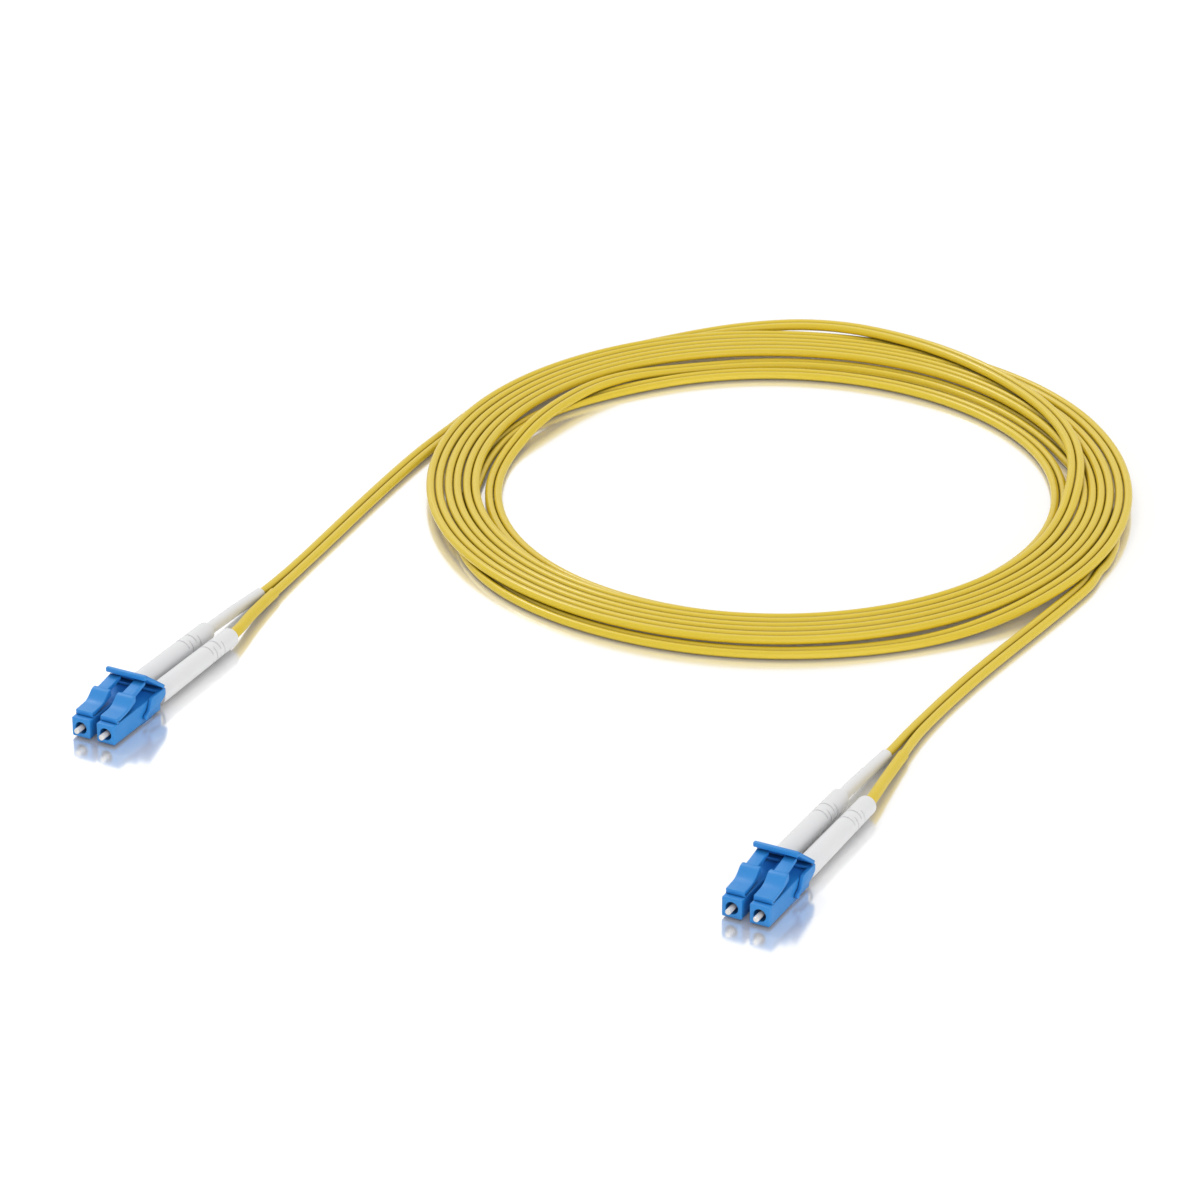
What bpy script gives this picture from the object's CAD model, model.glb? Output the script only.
import math

import bpy
import numpy as np
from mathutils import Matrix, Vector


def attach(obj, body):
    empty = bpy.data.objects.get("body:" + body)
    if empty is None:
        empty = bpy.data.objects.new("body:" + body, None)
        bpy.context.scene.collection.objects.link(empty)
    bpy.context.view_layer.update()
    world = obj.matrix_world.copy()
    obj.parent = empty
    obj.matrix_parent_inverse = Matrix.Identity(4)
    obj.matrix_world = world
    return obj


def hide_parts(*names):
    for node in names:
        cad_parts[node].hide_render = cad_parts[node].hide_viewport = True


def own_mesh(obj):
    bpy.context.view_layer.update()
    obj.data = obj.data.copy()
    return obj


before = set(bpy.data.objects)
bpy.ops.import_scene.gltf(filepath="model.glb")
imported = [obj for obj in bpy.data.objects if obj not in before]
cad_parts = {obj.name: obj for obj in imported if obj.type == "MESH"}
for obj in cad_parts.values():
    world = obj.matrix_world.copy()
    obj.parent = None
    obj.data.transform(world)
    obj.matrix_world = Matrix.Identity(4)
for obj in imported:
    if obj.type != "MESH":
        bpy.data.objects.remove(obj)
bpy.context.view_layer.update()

# ------------------------------------------------------------------ camera
# It stands in front of the right-hand plugs, 27 degrees above the table, and
# looks across both pairs to the coil through a long lens.

MM = 0.001


def vec(*numbers):
    """The numbers, or the rows of numbers, as one array."""
    return np.array(numbers, float)


aim = vec(-13.7, 74.7, 0)
camera_rise = math.radians(26.96)
camera_level = vec(0.4633, -0.8862, 0)
camera_stand_off = 1137
camera_back = math.cos(camera_rise) * camera_level + math.sin(camera_rise) * vec(0, 0, 1)

camera = bpy.data.objects.new("camera", bpy.data.cameras.new("camera"))
bpy.context.scene.collection.objects.link(camera)
camera.data.sensor_width = 36
camera.data.lens = 150
camera.data.clip_start = 0.05
camera.data.clip_end = 20
camera.location = (aim + camera_stand_off * camera_back) * MM
camera.rotation_mode = "QUATERNION"
camera.rotation_quaternion = Vector(-camera_back).to_track_quat("-Z", "Y")
bpy.context.scene.camera = camera

# ------------------------------------------------------------------ cord
# Two jacketed strands, 2 mm across, that run side by side from the left plugs
# through five and a half turns to the right plugs. Each strand is one unbroken
# tube of soft yellow PVC with the faint lengthwise grain of its extrusion.

strand_r = 1.0
strand_step = 2.05
layer_rise = 2.12
coil_centre = vec(-2.1, 142.5)
turn_end = 1980.0
turn_step = 1.5
point_gap = 1.8

# Degrees over which the radius and the layer ease from one key to the next
radius_ease = 9
layer_ease = 6
ease_step = 3

# Middle of the pair between the first plugs and the coil: x, y, z and half the
# distance between the strands; then the same between the coil and the last plugs
tail_a = vec(
    [-79.3, 21, 2.55, 2.85], [-80.2, 29, 2.1, 2.15], [-80.9, 40, 1.5, 1.35],
    [-81.7, 51, 1.15, 1.08], [-82.6, 62, 1, 1.025], [-83.6, 74, 1, 1.025],
    [-84.9, 89, 1, 1.025], [-86.1, 105, 1, 1.025], [-86.9, 120, 1, 1.025],
    [-87, 131, 1, 1.025],
)
tail_b = vec(
    [82, 131, 1, 1.025], [81.5, 121, 1, 1.025], [80.3, 107, 1, 1.025],
    [78.8, 92, 1, 1.025], [77.6, 78, 1, 1.025], [76.9, 65, 1, 1.025],
    [76.7, 56, 1.1, 1.04], [76.8, 47, 1.3, 1.15], [77.4, 37, 1.5, 1.55],
    [78.1, 25, 2.1, 2.35], [78.7, 17.4, 2.55, 2.9],
)
# Radius of the pair, and its layer above the table, by turning angle
radius_keys = vec(
    [0, 84.6], [20, 86], [38, 89], [50, 91.1], [60, 91.3], [68, 90.6], [78, 88.6],
    [90, 85.2], [100, 82.2], [108, 79.8], [124, 76.6], [140, 73.4], [152, 70.6],
    [165, 69.1], [180, 68.8], [240, 70.7], [300, 71.8], [340, 72.3], [360, 73.6],
    [380, 75.7], [400, 76.9], [450, 77.1], [465, 76.3], [480, 74.9], [500, 73.9],
    [525, 73.5], [540, 73.2], [600, 75.1], [660, 76.1], [700, 76.6], [720, 78.0],
    [740, 79.9], [770, 81.4], [810, 81.4], [840, 79.4], [860, 78.2], [880, 77.6],
    [900, 77.4], [960, 79.6], [1020, 80.4], [1060, 80.9], [1080, 82.4], [1100, 84.2],
    [1130, 86.0], [1160, 85.7], [1190, 84.8], [1200, 84.3], [1220, 82.6], [1240, 81.9],
    [1260, 81.8], [1275, 82.6], [1290, 83.0], [1320, 82.7], [1356, 82.6], [1371, 82.2],
    [1381, 81.2], [1394, 78], [1411, 71.6], [1446, 71.3], [1455, 70], [1470, 67.6],
    [1530, 67.8], [1560, 67.9], [1580, 67.7], [1595, 67], [1620, 66.5], [1735, 67.2],
    [1775, 66.9], [1804, 66.9], [1816, 68.6], [1830, 71.6], [1846, 72.4], [1864, 73.9],
    [1890, 74.5], [1920, 72.9], [1932, 72.3], [1945, 73.6], [1960, 78], [1970, 81.4],
    [1980, 83.9],
)
layer_keys = vec(
    [46, 0], [72, 2], [152, 2], [172, 1], [1276, 1], [1298, 0], [1790, 0], [1806, 1],
    [1828, 1], [1848, 0],
)

# Plugs: middle of the nose face, side of the pair and end of the cord
plug_pitch = 6.25
axis_height = 2.7
PAIRS = {"a": vec(-79, -35.7, axis_height), "b": vec(79, -39.3, axis_height)}
PLUGS = {
    end + number: (PAIRS[end] + vec(side * plug_pitch / 2, 0, 0), side, end)
    for end in "ab"
    for number, side in (("1", -1), ("2", 1))
}
strand_start = 24.5
boot_end = 51.8


def eased(turn, keys, reach):
    """The keyed value at each turning angle, averaged over a stretch to both sides."""
    shifts = np.arange(-reach, reach + 1, ease_step)
    return np.mean([np.interp(turn + s, keys[:, 0], keys[:, 1]) for s in shifts], axis=0)


def coil_line(side, turn):
    """A strand in the coil: a circle whose radius and height follow the keys."""
    r = eased(turn, radius_keys, radius_ease) + side * strand_step / 2
    bearing = np.radians(180 - turn)
    return np.stack([
        coil_centre[0] + r * np.cos(bearing),
        coil_centre[1] + r * np.sin(bearing),
        strand_r + layer_rise * eased(turn, layer_keys, layer_ease),
    ], axis=1)


def beside(points, side):
    """A strand's points beside the middle line: shifted level, square to the run."""
    run = np.gradient(points[:, :2], axis=0)
    left = np.stack([-run[:, 1], run[:, 0]], axis=1)
    left /= np.linalg.norm(left, axis=1, keepdims=True)
    line = points[:, :3].copy()
    line[:, :2] += side * points[:, 3:4] * left
    return line


def smooth_run(points, steps=12):
    """A cubic through every point, with its slope at each from the two neighbours."""
    p = np.vstack([2 * points[0] - points[1], points, 2 * points[-1] - points[-2]])
    t = np.linspace(0, 1, steps, endpoint=False)[None, :, None]
    a, b, c, d = (p[i:len(p) - 3 + i, None, :] for i in range(4))
    square, cube = 2 * a - 5 * b + 4 * c - d, 3 * b - a - 3 * c + d
    run = 0.5 * (2 * b + (c - a) * t + square * t**2 + cube * t**3)
    return np.vstack([run.reshape(-1, 3), points[-1:]])


def point_at(distance, along, line):
    """The points of a line at given distances along it."""
    return np.stack([np.interp(distance, along, line[:, i]) for i in range(3)], axis=1)


def spaced(line, gap):
    """The same line with its points an equal distance apart, and their distances."""
    along = np.concatenate([[0], np.cumsum(np.linalg.norm(np.diff(line, axis=0), axis=1))])
    at = np.linspace(0, along[-1], max(2, round(along[-1] / gap) + 1))
    return point_at(at, along, line), at


def straight_out(plug):
    """The strand inside its boot, from the crimp to just past the boot's end."""
    nose = PLUGS[plug][0]
    return nose + vec([0, 1, 0]) * vec([strand_start], [boot_end], [boot_end + 1])


def strand_line(first, side, last):
    """A whole strand: out of one plug, along its tail, round the coil, into the other.
    Two points just before each end of the coil lead the tails straight into it."""
    coil = coil_line(side, np.arange(0, turn_end + 1, turn_step))
    lead_in = vec([0, 4, 0], [0, 2, 0])
    out = np.vstack([beside(tail_a, -PLUGS[first][1]), coil[0] - lead_in])
    home = np.vstack([coil[-1] - lead_in[::-1], beside(tail_b, PLUGS[last][1])])
    line = np.vstack([
        straight_out(first), smooth_run(out), coil, smooth_run(home), straight_out(last)[::-1],
    ])
    return spaced(line, point_gap)


def grid_faces(rows, loop):
    """Points and polygons of a closed surface over a grid. Each row is a ring round the
    piece. Quads join neighbours in a ring to the same two in the next ring. One polygon
    closes each end, or with loop the last ring joins the first. Polygons are turned
    outwards by the sign of the volume they enclose."""
    n, m = rows.shape[:2]
    index = np.arange(n * m).reshape(n, m)
    here = index if loop else index[:-1]
    there = np.roll(index, -1, axis=0) if loop else index[1:]
    four = [here, np.roll(here, -1, 1), np.roll(there, -1, 1), there]
    quads = np.stack(four, axis=-1).reshape(-1, 4)
    points = rows.reshape(-1, 3)
    a, b, c, d = (points[quads[:, i]] for i in range(4))
    volume = np.einsum("ij,ij->i", a, np.cross(b, c) + np.cross(c, d)).sum()
    ends = [] if loop else [index[0][::-1], index[-1]]
    for end in ends:
        rim = points[end]
        middle = rim.mean(0)
        volume += np.einsum("ij,ij->i", rim, np.cross(np.roll(rim, -1, 0), middle[None])).sum()
    turned = volume < 0
    polygons = quads.tolist() + [end.tolist() for end in ends]
    if turned:
        polygons = [polygon[::-1] for polygon in polygons]
    return points, polygons, turned


def skin(name, *grids, loop=False, along=None, sharp=40):
    """One piece made of a closed surface over each grid. Edges that turn by more than
    sharp degrees stay crisp. With along, for a single grid, a UV map holds each ring's
    distance and each point's share of the way round."""
    points, polygons = [], []
    for rows in grids:
        start = sum(len(p) for p in points)
        more, faces, turned = grid_faces(rows, loop)
        points.append(more)
        polygons += [[start + i for i in face] for face in faces]
    mesh = bpy.data.meshes.new(name)
    mesh.from_pydata((np.vstack(points) * MM).tolist(), [], polygons)
    if along is not None:
        m = rows.shape[1]
        first, last = (np.repeat(part, m) for part in (along[:-1], along[1:]))
        low = np.tile(np.arange(m) / m, len(along) - 1)
        u = np.stack([first, first, last, last], axis=1)
        v = np.stack([low, low + 1 / m, low + 1 / m, low], axis=1)
        if turned:
            u, v = u[:, ::-1], v[:, ::-1]
        flat = np.stack([u * MM, v], axis=-1).reshape(-1, 2)
        ends = np.repeat([[along[0] * MM, 0.5], [along[-1] * MM, 0.5]], m, axis=0)
        mesh.uv_layers.new(name="run").data.foreach_set("uv", np.vstack([flat, ends]).ravel())
    mesh.shade_smooth()
    mesh.set_sharp_from_angle(angle=math.radians(sharp))
    piece = bpy.data.objects.new(name, mesh)
    bpy.context.scene.collection.objects.link(piece)
    return piece


def level_frame(ahead):
    """Level left and upward directions, square to each forward direction."""
    ahead = ahead / np.linalg.norm(ahead, axis=1, keepdims=True)
    left = np.stack([-ahead[:, 1], ahead[:, 0], 0 * ahead[:, 0]], axis=1)
    left /= np.linalg.norm(left, axis=1, keepdims=True)
    return left, np.cross(ahead, left)


def ring_rows(centre, one_way, other_way, radius, sides, offset=0.0):
    """A ring round each centre: the radius times the cosine of the bearing one way and
    its sine the other way. The offset turns the ring by a part of a side."""
    bearing = (2 * np.pi * (np.arange(sides) + offset) / sides)[None, :, None]
    r = np.broadcast_to(np.asarray(radius, float), len(centre))[:, None, None]
    spoke = np.cos(bearing) * one_way[:, None] + np.sin(bearing) * other_way[:, None]
    return centre[:, None] + r * spoke


def material(name, **settings):
    """A new material with its Principled shader, whose plain sockets are set by name."""
    made = bpy.data.materials.new(name)
    made.use_nodes = True
    shader = made.node_tree.nodes["Principled BSDF"]
    for socket, value in settings.items():
        shader.inputs[socket.replace("_", " ")].default_value = value
    return made, made.node_tree, shader


def node(tree, kind, links=(), **settings):
    """Adds a shader node, sets its properties and sockets, and joins its inputs."""
    made = tree.nodes.new(kind)
    for key, value in settings.items():
        if hasattr(made, key):
            setattr(made, key, value)
        else:
            made.inputs[key.replace("_", " ")].default_value = value
    for socket, source in dict(links).items():
        tree.links.new(source, made.inputs[socket])
    return made


def join_up(tree, shader, color, roughness, relief):
    """Joins what a finish has worked out to its Principled shader."""
    tree.links.new(color, shader.inputs["Base Color"])
    tree.links.new(roughness, shader.inputs["Roughness"])
    tree.links.new(relief.outputs["Normal"], shader.inputs["Normal"])


COLOR = "NodeSocketColor"
NUMBER = "NodeSocketFloat"


def shade_group(name, inputs, outputs):
    """An empty shader group with its sockets: a label and a kind each, and for an input
    its value. Gives the group and its two end nodes."""
    tree = bpy.data.node_groups.new(name, "ShaderNodeTree")
    for label, kind, value in inputs:
        socket = tree.interface.new_socket(label, in_out="INPUT", socket_type=kind)
        socket.default_value = value
    for label, kind in outputs:
        tree.interface.new_socket(label, in_out="OUTPUT", socket_type=kind)
    return tree, tree.nodes.new("NodeGroupInput"), tree.nodes.new("NodeGroupOutput")


def use_group(tree, group, links=(), **settings):
    """Places a shader group, sets its plain inputs and joins the others."""
    return node(tree, "ShaderNodeGroup", links, node_tree=group, **settings)


# Close places: a tint gives way to a deeper one where other surfaces stand near
close_places, close_in, close_out = shade_group(
    "close_places",
    [("Tint", COLOR, (0.8, 0.8, 0.8, 1)), ("Close Tint", COLOR, (0.3, 0.3, 0.3, 1)),
     ("Reach", NUMBER, 0.002)],
    [("Color", COLOR)],
)
closeness = node(close_places, "ShaderNodeAmbientOcclusion",
                 {"Distance": close_in.outputs["Reach"]}, samples=8)
open_side = node(close_places, "ShaderNodeMapRange", {"Value": closeness.outputs["AO"]},
                 From_Min=0.2, From_Max=0.75)
close_mix = node(close_places, "ShaderNodeMix", data_type="RGBA")
close_places.links.new(open_side.outputs["Result"], close_mix.inputs["Factor"])
close_places.links.new(close_in.outputs["Close Tint"], close_mix.inputs["A"])
close_places.links.new(close_in.outputs["Tint"], close_mix.inputs["B"])
close_places.links.new(close_mix.outputs["Result"], close_out.inputs["Color"])

# Jacket grain: long faint streaks from the extruder's die, which are uneven in gloss,
# and slow changes of tint along the run
jacket_grain, grain_in, grain_out = shade_group(
    "jacket_grain",
    [("Tint", COLOR, (0.8, 0.6, 0.05, 1)), ("Deep Tint", COLOR, (0.7, 0.5, 0.03, 1)),
     ("Gloss Low", NUMBER, 0.3), ("Gloss High", NUMBER, 0.42)],
    [("Color", COLOR), ("Roughness", NUMBER), ("Height", NUMBER)],
)
run_map = node(jacket_grain, "ShaderNodeUVMap", uv_map="run")
streak_place = node(jacket_grain, "ShaderNodeMapping", {"Vector": run_map.outputs["UV"]},
                    Scale=(40, 14, 1))
streaks = node(jacket_grain, "ShaderNodeTexNoise", {"Vector": streak_place.outputs[0]},
               Scale=1.0, Detail=3.0)
slow_place = node(jacket_grain, "ShaderNodeMapping", {"Vector": run_map.outputs["UV"]},
                  Scale=(9, 0.6, 1))
slow = node(jacket_grain, "ShaderNodeTexNoise", {"Vector": slow_place.outputs[0]},
            Scale=1.0, Detail=2.0)
tint_mix = node(jacket_grain, "ShaderNodeMix", data_type="RGBA")
jacket_grain.links.new(slow.outputs["Fac"], tint_mix.inputs["Factor"])
jacket_grain.links.new(grain_in.outputs["Tint"], tint_mix.inputs["A"])
jacket_grain.links.new(grain_in.outputs["Deep Tint"], tint_mix.inputs["B"])
gloss_range = node(jacket_grain, "ShaderNodeMapRange", {
    "Value": streaks.outputs["Fac"], "To Min": grain_in.outputs["Gloss Low"],
    "To Max": grain_in.outputs["Gloss High"],
}, From_Min=0.3, From_Max=0.7)
jacket_grain.links.new(tint_mix.outputs["Result"], grain_out.inputs["Color"])
jacket_grain.links.new(gloss_range.outputs["Result"], grain_out.inputs["Roughness"])
jacket_grain.links.new(streaks.outputs["Fac"], grain_out.inputs["Height"])

jacket_reach = 1.6 * MM
grain_height = 0.02 * MM


def jacket_finish(name, tint, deep_tint, close_tint, gloss_low, gloss_high, bump):
    """Soft extruded PVC: the grain gives tint, gloss and relief, and close places
    deepen the tint."""
    made, tree, shader = material(name, IOR=1.48, Specular_IOR_Level=0.5)
    grain = use_group(tree, jacket_grain, Tint=tint, Deep_Tint=deep_tint,
                      Gloss_Low=gloss_low, Gloss_High=gloss_high)
    shaded = use_group(tree, close_places, {"Tint": grain.outputs["Color"]},
                       Close_Tint=close_tint, Reach=jacket_reach)
    relief = node(tree, "ShaderNodeBump", {"Height": grain.outputs["Height"]},
                  Strength=bump, Distance=grain_height)
    join_up(tree, shader, shaded.outputs["Color"], grain.outputs["Roughness"], relief)
    return made


yellow_jacket = jacket_finish(
    "yellow_jacket", tint=(0.83, 0.62, 0.038, 1), deep_tint=(0.79, 0.585, 0.030, 1),
    close_tint=(0.26, 0.18, 0.012, 1), gloss_low=0.23, gloss_high=0.34, bump=0.25)

strand_lines = {}
strand_sides = 20
STRANDS = {"outer": ("a1", 1, "b2", "coil_1"), "inner": ("a2", -1, "b1", "coil_2")}
for which, (first, side, last, coil) in STRANDS.items():
    line, along = strand_lines[which] = strand_line(first, side, last)
    left, up = level_frame(np.gradient(line, axis=0))
    rows = ring_rows(line, left, up, strand_r, strand_sides, 0.5)
    strand = skin("strand_" + which, rows, along=along)
    strand.data.materials.append(yellow_jacket)
    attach(strand, "cord_and_plugs")
    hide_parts("lead_" + first, coil, "lead_" + last)

# ------------------------------------------------------------------ plug housings
# Moulded bodies of blue PBT with a square nose, softly rounded edges and a round
# opening for the ferrule. One closed skin: the outside, then the bore back to front.

nose_w = 4.52
housing_l = 18.6
housing_corner = 0.35
housing_round = 0.22
housing_stations = [6, 12]
nose_bore_r = 1.35
mouth = [(0.2, 0), (0.08, 0.04), (0, 0.12)]     # depth, and how much wider than the bore
shoulder_depth = 3.08
chamber_r = 1.6
rear_socket_r = 1.9
rear_socket_u = 15.0
pin_u = 1.9
pin_z = 2.5
pin_r = 0.4
pin_gap = 0.03


def arc(low, high, steps):
    """Evenly spaced angles from low to high degrees, in radians."""
    return np.radians(np.linspace(low, high, steps + 1))


def rounded(outline, radius, steps=5, along=1):
    """A closed outline with its corners rounded. At each corner a quadratic curve leaves
    one side and joins the next; each straight run is cut into along equal parts."""
    corner = np.asarray(outline, float)
    reach = np.broadcast_to(np.asarray(radius, float), len(corner))[:, None]
    back = np.roll(corner, 1, 0) - corner
    on = np.roll(corner, -1, 0) - corner
    a = corner + reach * back / np.linalg.norm(back, axis=1, keepdims=True)
    b = corner + reach * on / np.linalg.norm(on, axis=1, keepdims=True)
    t = np.linspace(0, 1, steps + 1)[None, :, None]
    bend = (1 - t)**2 * a[:, None] + 2 * t * (1 - t) * corner[:, None] + t**2 * b[:, None]
    s = (np.arange(1, along) / along)[None, :, None]
    run = b[:, None] * (1 - s) + np.roll(a, -1, 0)[:, None] * s
    return np.concatenate([bend, run], axis=1).reshape(-1, 2)


def inset(ring, depth):
    """A ring moved inwards, square to its run, by one depth."""
    run = np.roll(ring, -1, 0) - np.roll(ring, 1, 0)
    out = np.stack([run[:, 1], -run[:, 0]], axis=1) / np.linalg.norm(run, axis=1, keepdims=True)
    around = np.sum(ring[:, 0] * np.roll(ring[:, 1], -1) - ring[:, 1] * np.roll(ring[:, 0], -1))
    return ring - np.sign(around) * depth * out


def edge_steps(edge, steps=3):
    """A quarter round from an end face to a side: (distance from the end, inset)."""
    t = arc(0, 90, steps)
    return edge * (1 - np.cos(t)), edge * (1 - np.sin(t))


def disc(r, ring):
    """A circle with its points at the same bearings as another ring's points."""
    return r * ring / np.linalg.norm(ring, axis=1, keepdims=True)


def housing_rows():
    """Rings across and up at each depth: a square outside with round edges, then circles
    inside. The top is held below a circle round the latch pin, which cuts a trough."""
    half = nose_w / 2
    square = rounded([[half, -half], [half, half], [-half, half], [-half, -half]],
                     housing_corner, steps=4, along=6)
    away, shrink = edge_steps(housing_round)
    trough_r = pin_r + pin_gap
    trough = pin_u + trough_r * np.cos(arc(180, 0, 8))
    plain = np.concatenate([trough, housing_stations])
    depths = np.concatenate([away, plain, housing_l - away[::-1]])
    insets = np.concatenate([shrink, 0 * plain, shrink[::-1]])
    rings = [np.insert(inset(square, i), 1, u, axis=1) for u, i in zip(depths, insets)]
    rows = np.array(rings)
    cut = np.sqrt(np.maximum(trough_r**2 - (rows[..., 1] - pin_u)**2, 0))
    rows[..., 2] = np.where(cut > 0, np.minimum(rows[..., 2], pin_z - cut), rows[..., 2])
    bore = [
        (rear_socket_r, housing_l), (rear_socket_r, rear_socket_u), (chamber_r, rear_socket_u),
        (chamber_r, shoulder_depth), (nose_bore_r, shoulder_depth),
    ] + [(nose_bore_r + wider, u) for u, wider in mouth]
    inside = [np.insert(disc(r, square), 1, u, axis=1) for r, u in bore]
    return np.concatenate([rows, inside])


def settle(piece, finish, slot_name, body, *nodes):
    """Gives a piece its finish and slot, its body and the CAD nodes that it stands for."""
    piece.data.materials.append(finish)
    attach(piece, body)
    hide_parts(*nodes)
    return piece


# Moulded plastic: faint flow of the tint, a fine matt texture and slightly uneven gloss
moulded, moulded_in, moulded_out = shade_group(
    "moulded",
    [("Tint", COLOR, (0.5, 0.5, 0.5, 1)), ("Deep Tint", COLOR, (0.4, 0.4, 0.4, 1)),
     ("Gloss Low", NUMBER, 0.3), ("Gloss High", NUMBER, 0.4), ("Grain", NUMBER, 1800)],
    [("Color", COLOR), ("Roughness", NUMBER), ("Height", NUMBER)],
)
place_on = node(moulded, "ShaderNodeTexCoord")
flow = node(moulded, "ShaderNodeTexNoise", {"Vector": place_on.outputs["Object"]},
            Scale=220.0, Detail=3.0)
grain = node(moulded, "ShaderNodeTexNoise", {
    "Vector": place_on.outputs["Object"], "Scale": moulded_in.outputs["Grain"]}, Detail=2.0)
moulded_tint = node(moulded, "ShaderNodeMix", data_type="RGBA")
moulded.links.new(flow.outputs["Fac"], moulded_tint.inputs["Factor"])
moulded.links.new(moulded_in.outputs["Tint"], moulded_tint.inputs["A"])
moulded.links.new(moulded_in.outputs["Deep Tint"], moulded_tint.inputs["B"])
moulded_gloss = node(moulded, "ShaderNodeMapRange", {
    "Value": flow.outputs["Fac"], "To Min": moulded_in.outputs["Gloss Low"],
    "To Max": moulded_in.outputs["Gloss High"]}, From_Min=0.3, From_Max=0.7)
moulded.links.new(moulded_tint.outputs["Result"], moulded_out.inputs["Color"])
moulded.links.new(moulded_gloss.outputs["Result"], moulded_out.inputs["Roughness"])
moulded.links.new(grain.outputs["Fac"], moulded_out.inputs["Height"])


moulded_reach = 2.4 * MM
texture_height = 0.03 * MM


def moulded_finish(name, tint, deep_tint, close_tint, gloss_low, gloss_high, bump,
                   grain=1800, **settings):
    """Moulded plastic: the surface gives tint, gloss and relief, and close places deepen
    the tint. The grain counts grains in a metre."""
    made, tree, shader = material(name, **settings)
    surface = use_group(tree, moulded, Tint=tint, Deep_Tint=deep_tint,
                        Gloss_Low=gloss_low, Gloss_High=gloss_high, Grain=grain)
    relief = node(tree, "ShaderNodeBump", {"Height": surface.outputs["Height"]},
                  Strength=bump, Distance=texture_height)
    shaded = use_group(tree, close_places, {"Tint": surface.outputs["Color"]},
                       Close_Tint=close_tint, Reach=moulded_reach)
    join_up(tree, shader, shaded.outputs["Color"], surface.outputs["Roughness"], relief)
    return made


blue_plastic = moulded_finish(
    "blue_plastic", tint=(0.027, 0.280, 0.73, 1), deep_tint=(0.021, 0.260, 0.70, 1),
    close_tint=(0.006, 0.085, 0.27, 1), gloss_low=0.40, gloss_high=0.52, bump=0.12, IOR=1.5)

for plug, (nose, side, end) in PLUGS.items():
    housing = skin(plug + "_body", nose + housing_rows(), loop=True)
    settle(housing, blue_plastic, "blue_plastic", "cord_and_plugs", plug + "_housing")

# ------------------------------------------------------------------ latch levers
# Blue PBT springs hinged on a pin over the nose. A wide tread runs up a hollow ramp to
# two shoulders; a narrow tail goes on from there, under the trigger. Two lofted bars.

latch_w = 4.25
latch_tail_w = 2.7


def box_rows(depth, half_w, low, high, corner, steps=4):
    """A bar along the depth. At each depth its section is a rectangle from -half_w to
    half_w and from low to high. A quarter circle rounds each corner, a little less than
    half of the section at most."""
    turn = np.concatenate([arc(90 * k, 90 * k + 90, steps) for k in range(4)])
    sign = np.repeat(vec([1, 1], [-1, 1], [-1, -1], [1, -1]), steps + 1, axis=0)
    shared = np.broadcast_arrays(depth, half_w, low, high, corner)
    depth, half_w, low, high, corner = (np.asarray(v, float)[:, None] for v in shared)
    middle, half_h = (low + high) / 2, (high - low) / 2
    corner = np.minimum(corner, 0.98 * np.minimum(half_w, half_h))
    x = sign[:, 0] * (half_w - corner) + corner * np.cos(turn)
    z = middle + sign[:, 1] * (half_h - corner) + corner * np.sin(turn)
    return np.stack([x, depth + 0 * x, z], axis=-1)


def round_ended(depth, half_w, low, high, corner, edge=0.15):
    """The same bar, with a quarter round from each end face to the sides: the first and
    the last section are repeated, shrunk by the round's inset."""
    shared = np.broadcast_arrays(depth, half_w, low, high)
    depth, half_w, low, high = (np.asarray(v, float) for v in shared)
    away, shrink = edge_steps(edge)
    inner = depth[1:-1]
    depths = np.concatenate([depth[:1] + away, inner, depth[-1:] - away[::-1]])
    shrinks = np.concatenate([shrink, 0 * inner, shrink[::-1]])
    times = [len(away)] + [1] * len(inner) + [len(away)]
    half_w, low, high = (np.repeat(v, times) for v in (half_w, low, high))
    return box_rows(depths, half_w - shrinks, low + shrinks, high - shrinks, corner)


def curve(at, keys):
    """A smooth curve through its keys, read at given depths."""
    line = smooth_run(np.insert(keys, 2, 0, axis=1))
    return np.interp(at, line[:, 0], line[:, 1])


def rod_rows(r, place, low, high, sides=24, edge=0.06):
    """A round bar across the plugs, from low to high, at (depth, height)."""
    a = 2 * np.pi * np.arange(sides) / sides
    away, shrink = edge_steps(edge)
    x = np.concatenate([low + away, high - away[::-1]])[:, None]
    radius = r - np.concatenate([shrink, shrink[::-1]])[:, None]
    depth, height = place[0] + radius * np.cos(a), place[1] + radius * np.sin(a)
    return np.stack([x + 0 * a, depth, height], axis=-1)


# Heights of the tread and of the tail, above and below, by depth
tread_start = 1.5
tread_end = 9.2
tread_round = 0.2
tail_start = 7.6
tail_end = 14.4
tail_round = 0.18
tread_depths = np.linspace(tread_start, tread_end, 36)
tread_top = curve(tread_depths, vec(
    [tread_start, 3.46], [3.4, 3.54], [4.8, 3.64], [5.8, 3.9], [6.6, 4.36], [7.2, 4.84],
    [7.7, 5.26], [8.1, 5.52], [8.6, 5.64], [tread_end, 5.62]))
tread_under = curve(tread_depths, vec(
    [tread_start, 2.44], [2.6, 2.46], [4.5, 2.75], [6.5, 3.1], [8.0, 3.6], [tread_end, 4.05]))
tail_depths = np.linspace(tail_start, tail_end, 18)
tail_top = curve(tail_depths, vec(
    [tail_start, 4.9], [8.4, 5.46], [9.2, 5.6], [10.4, 5.76], [12, 6.02], [tail_end, 6.45]))
tail_under = curve(tail_depths, vec([tail_start, 3.8], [8.8, 4.1], [10.5, 4.6], [tail_end, 5.57]))

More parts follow.
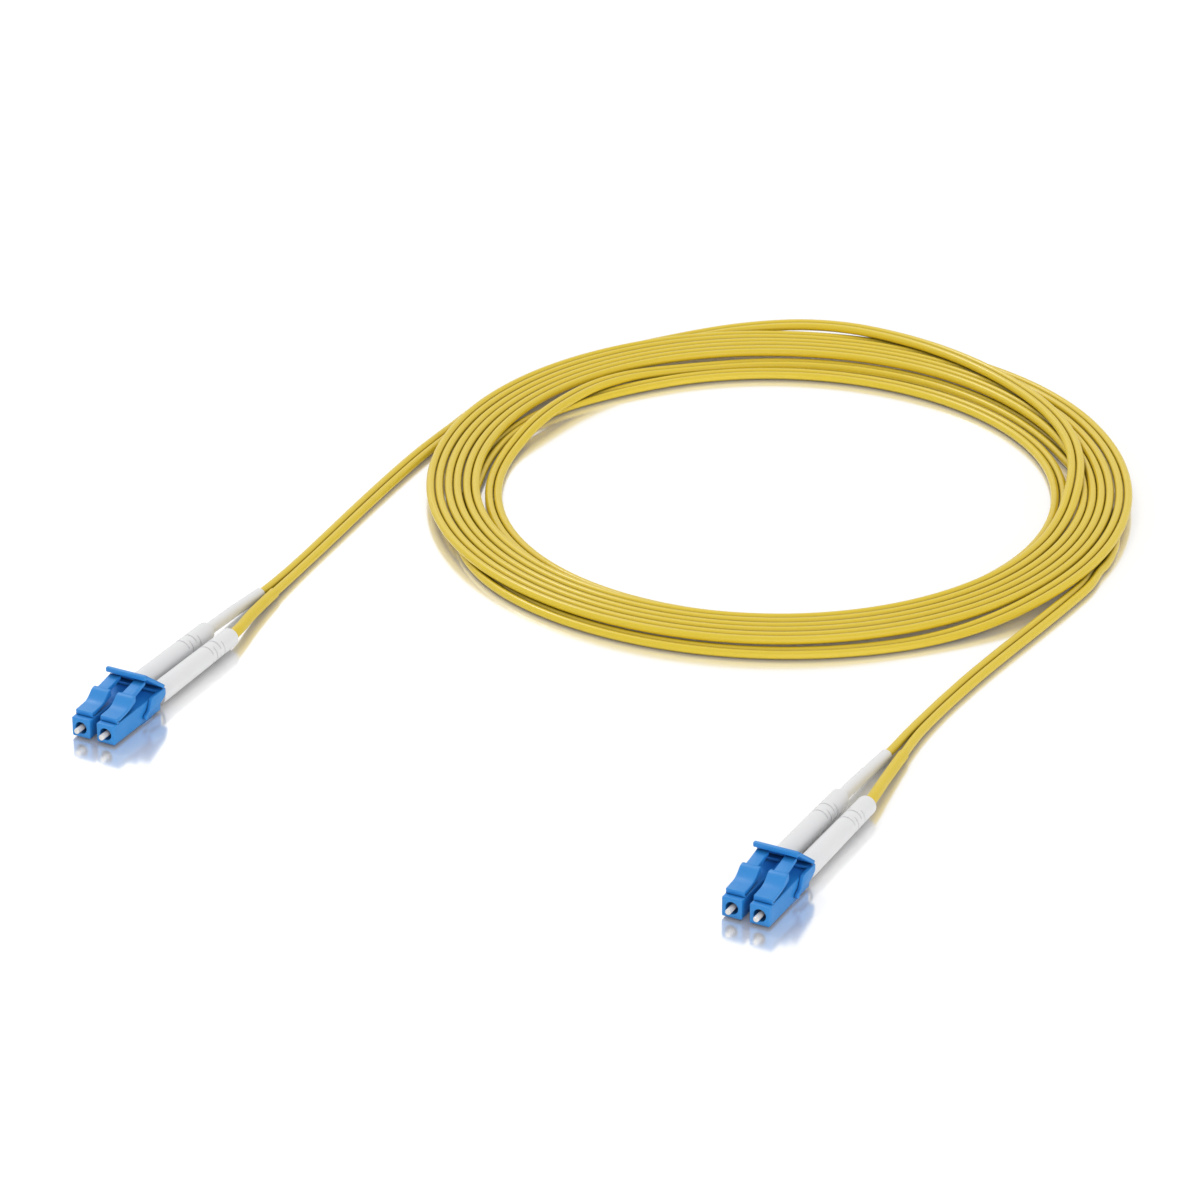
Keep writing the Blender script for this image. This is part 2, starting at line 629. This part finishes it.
for plug, (nose, side, end) in PLUGS.items():
    tread = round_ended(tread_depths, latch_w / 2, tread_under, tread_top, tread_round)
    tail = round_ended(tail_depths, latch_tail_w / 2, tail_under, tail_top, tail_round)
    pin = rod_rows(pin_r, (pin_u, pin_z), -latch_w / 2, latch_w / 2)
    latch = skin(plug + "_lever", *(nose + rows for rows in (tread, tail, pin)))
    settle(latch, blue_plastic, "blue_plastic", plug + "_latch_lever", plug + "_latch")

# ------------------------------------------------------------------ duplex clips
# Blue PBT clips that hold two plugs side by side: two shaped cheeks with a round boss low
# at the front, a thin floor, a web between the plugs and a bridge over them, each a
# rounded slab moulded into the next.

clip_w = 12.6
cheek_in = 5.435
clip_front = 11.2
clip_end = 19.5
clip_top = 3.0
step_in = 0.01      # keeps two slabs' faces from lying in one plane
clip_base = step_in - axis_height
plug_top = 2.32
floor_half = 5.03
floor_end = 15.5
floor_round = 0.08
web_half = 0.8
web_start = 12.8
bridge_start = 17.4
slab_round = 0.12


def slab(ring, low, high, edge, width=None):
    """An outline in depth and height carried across from low to high, with its two
    faces rounded over by edge. Width widens it: a factor for each point of the outline."""
    away, shrink = edge_steps(edge)
    across = np.concatenate([low + away, high - away[::-1]])
    rings = [inset(ring, i) for i in np.concatenate([shrink, shrink[::-1]])]
    factors = [1 if width is None else width(r[:, 0]) for r in rings]
    return np.array([np.insert(r, 0, x * f, axis=1) for r, x, f in zip(rings, across, factors)])


cheek = rounded([
    [11.5, -0.9], [clip_front + 0.05, -0.3], [12.8, 0.3], [14.1, clip_top], [clip_end, clip_top],
    [clip_end, 1.3], [17.2, 0.1], [12.6, -0.2], [12.0, -0.9],
], [0.1, 0.3, 0.5, 0.5, 0.3, 0.5, 0.5, 0.3, 0.1])
cheek_round = 0.16
boss_r = 0.52
boss_place = (clip_front + boss_r + 0.03, -0.8)
boss_end = clip_w / 2 - 2 * step_in
floor_depths = np.linspace(clip_front, floor_end, 3)
web_depths = np.linspace(web_start, clip_end, 3)
bridge_depths = np.linspace(bridge_start, clip_end, 3)
for end, middle in PAIRS.items():
    grids = [
        slab(cheek, cheek_in, clip_w / 2, cheek_round),
        slab(cheek, -clip_w / 2, -cheek_in, cheek_round),
        rod_rows(boss_r, boss_place, cheek_in, boss_end, edge=slab_round),
        rod_rows(boss_r, boss_place, -boss_end, -cheek_in, edge=slab_round),
        round_ended(floor_depths, floor_half, clip_base, -plug_top, floor_round, floor_round),
        round_ended(web_depths, web_half, clip_base, clip_top - 2 * step_in, slab_round, 0.1),
        round_ended(bridge_depths, clip_w / 2 - 5 * step_in, plug_top, clip_top - step_in,
                    slab_round, slab_round),
    ]
    clip = skin(end + "_duplex_clip", *(middle + rows for rows in grids))
    settle(clip, blue_plastic, "blue_plastic", "cord_and_plugs", end + "_clip")

# ------------------------------------------------------------------ triggers
# Blue PBT levers hinged at the back of the clip. A flat plate widens from a front bar
# with round ends to the root; pressing the bar pushes both latch tails down.

bar_front = 13.4
bar_back = 14.4
bar_top = 8.1
bar_under = 6.95
bar_half = 5.1
root = vec(19.1, 3.4)
root_r = 0.4
plate_t = 0.85
plate_wide_from = 18.6


def plate_half(depth):
    """Half of the plate's width at a depth, as a factor of the bar's half width."""
    return np.interp(depth, [bar_back, plate_wide_from], [1, clip_w / 2 / bar_half])


plate_front = vec(bar_front + 0.6, bar_top - plate_t / 2)
rise = plate_front - root
half_plate = vec(-rise[1], rise[0]) / np.linalg.norm(rise) * plate_t / 2
plate = rounded([
    root + half_plate, root + rise + half_plate, root + rise - half_plate, root - half_plate,
], [0.3, 0.1, 0.1, 0.3], steps=5, along=4)
bar = rounded([
    [bar_front, bar_under], [bar_front, bar_top], [bar_back, bar_top], [bar_back, bar_under],
], [0.34, 0.34, 0.3, 0.3])
for end, middle in PAIRS.items():
    grids = [
        slab(bar, -bar_half, bar_half, edge=0.3),
        slab(plate, -bar_half, bar_half, edge=0.2, width=plate_half),
        rod_rows(root_r, root, -cheek_in, cheek_in),
    ]
    trigger = skin(end + "_press_bar", *(middle + rows for rows in grids))
    settle(trigger, blue_plastic, "blue_plastic", end + "_trigger_lever", end + "_trigger")

# ------------------------------------------------------------------ ferrules
# Ground zirconia cylinders with a bevelled, slightly domed tip and a thin spigot at the
# back. A profile of radius against depth, turned round the axis.

zirconia = moulded_finish(
    "zirconia", tint=(0.80, 0.78, 0.75, 1), deep_tint=(0.76, 0.74, 0.71, 1),
    close_tint=(0.5, 0.48, 0.46, 1), gloss_low=0.10, gloss_high=0.18, bump=0.03,
    grain=3000, IOR=2.1)
tip = -1.86
ferrule_r = 0.625
spigot_r = 0.44
spigot_start = 3.10
spigot_end = 7.0
ferrule_profile = vec(
    [0.10, tip], [0.30, tip + 0.004], [0.44, tip + 0.012], [0.50, tip + 0.03],
    [0.56, tip + 0.08], [0.605, tip + 0.15], [ferrule_r, tip + 0.24],
    [ferrule_r, spigot_start], [spigot_r, spigot_start], [spigot_r, spigot_end],
)


def turned_rows(profile, sides=40):
    """A profile of radius and depth turned round the plug's axis."""
    a = 2 * np.pi * np.arange(sides) / sides
    r, u = profile[:, :1], profile[:, 1:]
    return np.stack([r * np.cos(a), u + 0 * a, r * np.sin(a)], axis=-1)


for plug, (nose, side, end) in PLUGS.items():
    ferrule = skin(plug + "_tip", nose + turned_rows(ferrule_profile))
    settle(ferrule, zirconia, "zirconia", plug + "_ferrule_set", plug + "_ferrule")

# ------------------------------------------------------------------ metal inside the plugs
# Turned parts behind the nose: flange, rear body and crimp sleeve, with faint turning
# marks, and the buffered fibre that runs through them.


turning_height = 0.01 * MM


def turned_metal(name, tint, gloss_low, gloss_high):
    """Bare metal with fine rings left by the lathe: noise drawn out round the axis
    changes gloss, relief and, by a tenth, the tint."""
    made, tree, shader = material(name, Metallic=1.0)
    where = node(tree, "ShaderNodeTexCoord")
    stretch = node(tree, "ShaderNodeMapping", {"Vector": where.outputs["Object"]},
                   Scale=(200, 9000, 200))
    rings = node(tree, "ShaderNodeTexNoise", {"Vector": stretch.outputs[0]},
                 Scale=1.0, Detail=2.0)
    gloss = node(tree, "ShaderNodeMapRange", {"Value": rings.outputs["Fac"]},
                 From_Min=0.3, From_Max=0.7, To_Min=gloss_low, To_Max=gloss_high)
    shade = node(tree, "ShaderNodeMapRange", {"Value": rings.outputs["Fac"]},
                 From_Min=0.2, From_Max=0.8, To_Min=0.9, To_Max=1.0)
    mixed = node(tree, "ShaderNodeMix", {"Factor": shade.outputs["Result"]},
                 data_type="RGBA", A=(0, 0, 0, 1), B=tint)
    relief = node(tree, "ShaderNodeBump", {"Height": rings.outputs["Fac"]},
                  Strength=0.2, Distance=turning_height)
    join_up(tree, shader, mixed.outputs["Result"], gloss.outputs["Result"], relief)
    return made


nickel = turned_metal("nickel", (0.72, 0.70, 0.66, 1), 0.18, 0.3)
steel = turned_metal("steel", (0.62, 0.62, 0.63, 1), 0.22, 0.34)
aluminium = turned_metal("aluminium", (0.78, 0.79, 0.80, 1), 0.28, 0.4)
white_buffer = moulded_finish(
    "white_buffer", tint=(0.76, 0.74, 0.66, 1), deep_tint=(0.72, 0.70, 0.62, 1),
    close_tint=(0.4, 0.38, 0.32, 1), gloss_low=0.35, gloss_high=0.45, bump=0.05, IOR=1.48)
INNER_PARTS = {
    "_flange": nickel, "_rear_body": nickel, "_crimp_sleeve": aluminium, "_buffer": white_buffer,
}
for plug in PLUGS:
    for part, finish in INNER_PARTS.items():
        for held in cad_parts[plug + part].material_slots:
            held.material = finish

# ------------------------------------------------------------------ ferrule springs
# Open coils of steel wire between the flange and the rear body. They shorten as the
# ferrule slides back.

spring_wire_r = 0.15
spring_r = 1.18
spring_turns = 6
spring_front = 5.15
spring_back = 12.55


def spring_rows(sides=10):
    """A wire wound round the plug's axis: the middle of each ring moves round a circle
    and along the axis; the ring stands on the outward and the axial direction."""
    turn = np.linspace(0, 2 * np.pi * spring_turns, 24 * spring_turns + 1)
    depth = np.linspace(spring_front + spring_wire_r, spring_back - spring_wire_r, len(turn))
    outward = np.stack([np.cos(turn), 0 * turn, -np.sin(turn)], axis=1)
    axial = np.broadcast_to(vec(0, 1, 0), outward.shape)
    middle = spring_r * outward + depth[:, None] * axial
    return ring_rows(middle, outward, axial, spring_wire_r, sides)


for plug, (nose, side, end) in PLUGS.items():
    spring = skin(plug + "_wire_spring", nose + spring_rows())
    settle(spring, steel, "steel", "cord_and_plugs", plug + "_spring")
    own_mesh(spring)

# ------------------------------------------------------------------ strain-relief boots
# White flexible PVC tubes, tapered to the back, over the crimp and the strand. Thin
# slots cut part of the way round let the back end bend: long ones on top and below,
# short ones on the sides.

boot_front = 20.3
boot_front_r = 2.45
boot_back_r = 2.2
boot_bore_r = 1.05
boot_socket_r = 1.86
boot_socket_end = 29.0
boot_round = 0.7
boot_front_round = 0.06
boot_stations = [26, 32, 38, 44]
slot_w = 0.28
slot_depth = 0.24
slot_fade = 8
slot_shape = [(-0.62, 0), (-0.5, 0.75), (-0.3, 1), (0.3, 1), (0.5, 0.75), (0.62, 0)]

# Slots, each cut on both sides of the boot: distance of the slot from the boot's end,
# bearing of its middle, and how far it reaches to either side, in degrees
slots = [(11, 90, 74), (9.6, 0, 62), (7.8, 90, 74), (6.4, 0, 62)]


def boot_rows(sides=64):
    """Radius by depth and bearing: the taper less the slots' hollows, then the round at
    the back end, then the bore, back to front. A slot's hollow follows slot_shape over
    its width and fades out over the last degrees of its reach."""
    bearing = 2 * np.pi * np.arange(sides) / sides
    cuts = [(boot_end - back + slot_w / 2 + slot_w * s, hollow, middle, reach)
            for back, middle, reach in slots for s, hollow in slot_shape]
    plain = [(u, 0, 0, 0) for u in [boot_front + boot_front_round] + boot_stations]
    columns = np.array(sorted(plain + cuts), float).T
    u, hollow, middle, reach = columns[:, :, None]
    off = np.abs((np.degrees(bearing)[None] - middle + 90) % 180 - 90)
    open_here = np.clip((reach - off) / slot_fade, 0, 1)
    share = (u - boot_front) / (boot_end - boot_front)
    radius = boot_front_r + (boot_back_r - boot_front_r) * share
    radius = radius - slot_depth * hollow * open_here
    across, up = radius * np.cos(bearing), radius * np.sin(bearing)
    outside = np.stack([across, u + 0 * bearing, up], axis=-1)
    t = arc(0, 90, 6)
    back_u = boot_end - boot_round * (1 - np.sin(t))
    back_r = boot_back_r - boot_round * (1 - np.cos(t))
    turned = turned_rows(np.stack([back_r, back_u], axis=1), sides)
    inside = turned_rows(vec(
        [boot_bore_r, boot_end], [boot_bore_r, boot_socket_end],
        [boot_socket_r, boot_socket_end], [boot_socket_r, boot_front],
        [boot_front_r - boot_front_round, boot_front]), sides)
    return np.concatenate([outside, turned, inside])


white_boot = moulded_finish(
    "white_boot", tint=(0.87, 0.87, 0.875, 1), deep_tint=(0.845, 0.845, 0.855, 1),
    close_tint=(0.5, 0.5, 0.51, 1), gloss_low=0.38, gloss_high=0.5, bump=0.25,
    grain=1300, IOR=1.5)
for plug, (nose, side, end) in PLUGS.items():
    boot = skin(plug + "_strain_relief", nose + boot_rows(), loop=True)
    settle(boot, white_boot, "white_boot", "cord_and_plugs", plug + "_boot")

# ------------------------------------------------------------------ marker sleeves
# Slim sleeves pushed over each strand behind its boot, white on the left plug of each
# pair and yellow on the right. A tube along the strand's own line, open at both ends.

sleeve_bore_r = 1.06
sleeve_round = 0.12
sleeve_sides = 32
sight = 0.8
white_sleeve = moulded_finish(
    "white_sleeve", tint=(0.87, 0.87, 0.87, 1), deep_tint=(0.845, 0.845, 0.85, 1),
    close_tint=(0.5, 0.5, 0.5, 1), gloss_low=0.4, gloss_high=0.52, bump=0.2,
    grain=1500, IOR=1.48)
yellow_sleeve = moulded_finish(
    "yellow_sleeve", tint=(0.82, 0.61, 0.042, 1), deep_tint=(0.78, 0.575, 0.035, 1),
    close_tint=(0.26, 0.18, 0.012, 1), gloss_low=0.38, gloss_high=0.5, bump=0.2,
    grain=1500, IOR=1.48)

# Outer radius, length and finish of the sleeves on the left and on the right plugs
SLEEVES = {
    "1": (1.40, 23.0, white_sleeve, "white_sleeve"),
    "2": (1.25, 25.2, yellow_sleeve, "yellow_sleeve"),
}


def sleeve_rows(line, along, start, length, r_out):
    """Rings along a stretch of the strand: the outside with round rims, then the bore.
    A ring faces from the strand's point just behind it to the one just ahead."""
    away, shrink = edge_steps(sleeve_round)
    middle = np.linspace(0.5, length - 0.5, 16)
    outside = np.concatenate([away, middle, length - away[::-1]])
    r = r_out - np.concatenate([shrink, 0 * middle, shrink[::-1]])
    inside = np.concatenate([[length], middle[::-1], [0]])
    at = start + np.concatenate([outside, inside])
    radius = np.concatenate([r, np.full(len(inside), sleeve_bore_r)])
    left, up = level_frame(point_at(at + sight, along, line) - point_at(at - sight, along, line))
    return ring_rows(point_at(at, along, line), left, up, radius, sleeve_sides)


for which, (first, side, last, coil) in STRANDS.items():
    line, along = strand_lines[which]
    past_boot = boot_end - strand_start
    for plug in (first, last):
        r_out, length, finish, finish_slot = SLEEVES[plug[1]]
        start = past_boot if plug == first else along[-1] - past_boot - length
        rows = sleeve_rows(line, along, start, length, r_out)
        sleeve = skin(plug + "_sleeve", rows, loop=True)
        settle(sleeve, finish, finish_slot, "cord_and_plugs", plug + "_marker")

# ------------------------------------------------------------------ floor and light
# A white glossy table top in a white room. A broad sun stands behind and to the left,
# with a narrow one in it for the glints, and another broad one fills in from the right
# and the front.

half_table = 3.0
corners = [(-1, -1), (1, -1), (1, 1), (-1, 1)]
floor_mesh = bpy.data.meshes.new("table_top")
floor_mesh.from_pydata(
    [(half_table * x, half_table * y, 0) for x, y in corners], [], [(0, 1, 2, 3)])
table_top = bpy.data.objects.new("table_top", floor_mesh)
bpy.context.scene.collection.objects.link(table_top)

# A matt white body under a polish that reflects more at a low angle. The camera also
# sees a faint glow on it, which brings it up to the white of the room.
gloss_white, table_tree, matt = material(
    "gloss_white", Base_Color=(0.95, 0.95, 0.95, 1), Roughness=0.9, Specular_IOR_Level=0.0)
polish = node(table_tree, "ShaderNodeBsdfGlossy", Roughness=0.16, Color=(1, 1, 1, 1))
facing = node(table_tree, "ShaderNodeLayerWeight", Blend=0.5)
reflective = node(table_tree, "ShaderNodeMapRange", {"Value": facing.outputs["Facing"]},
                  To_Min=0.25, To_Max=0.9)
sheen = node(table_tree, "ShaderNodeMixShader", {
    "Fac": reflective.outputs["Result"], 1: matt.outputs[0], 2: polish.outputs[0]})
glow = node(table_tree, "ShaderNodeEmission", Color=(1, 1, 1, 1), Strength=0.06)
lifted = node(table_tree, "ShaderNodeAddShader", {0: sheen.outputs[0], 1: glow.outputs[0]})
seen = node(table_tree, "ShaderNodeLightPath")
table_look = node(table_tree, "ShaderNodeMixShader", {
    "Fac": seen.outputs["Is Camera Ray"], 1: sheen.outputs[0], 2: lifted.outputs[0]})
table_tree.links.new(table_look.outputs[0], table_tree.nodes["Material Output"].inputs["Surface"])
floor_mesh.materials.append(gloss_white)

# Strength of each sun, its width in degrees and the direction where it stands
behind_left = (-0.7, 0.45, 1.0)
front_right = (0.75, -0.75, 0.4)
SUNS = [
    ("broad_sun", 0.4, 60, behind_left), ("glint_sun", 0.55, 9, behind_left),
    ("front_sun", 0.85, 60, front_right),
]
for name, strength, width, place in SUNS:
    sun = bpy.data.objects.new(name, bpy.data.lights.new(name, "SUN"))
    sun.data.energy = strength
    sun.data.angle = math.radians(width)
    sun.rotation_mode = "QUATERNION"
    sun.rotation_quaternion = Vector(place).to_track_quat("Z", "Y")
    bpy.context.scene.collection.objects.link(sun)

# The room: a soft white fill, seen as plain white by the camera, in gloss and through
# clear surfaces
room = bpy.data.worlds.new("room")
bpy.context.scene.world = room
room.use_nodes = True
room_tree = room.node_tree
fill = room_tree.nodes["Background"]
fill.inputs["Color"].default_value = (1, 1, 1, 1)
fill.inputs["Strength"].default_value = 0.57
backdrop = node(room_tree, "ShaderNodeBackground", Color=(1, 1, 1, 1), Strength=1.0)
path = node(room_tree, "ShaderNodeLightPath")
direct = node(room_tree, "ShaderNodeMath", {
    0: path.outputs["Is Camera Ray"], 1: path.outputs["Is Glossy Ray"]}, operation="MAXIMUM")
through = node(room_tree, "ShaderNodeMath", {
    0: direct.outputs[0], 1: path.outputs["Is Transmission Ray"]}, operation="MAXIMUM")
room_look = node(room_tree, "ShaderNodeMixShader", {
    "Fac": through.outputs[0], 1: fill.outputs[0], 2: backdrop.outputs[0]})
room_tree.links.new(room_look.outputs[0], room_tree.nodes["World Output"].inputs["Surface"])

bpy.context.scene.view_settings.view_transform = "Standard"
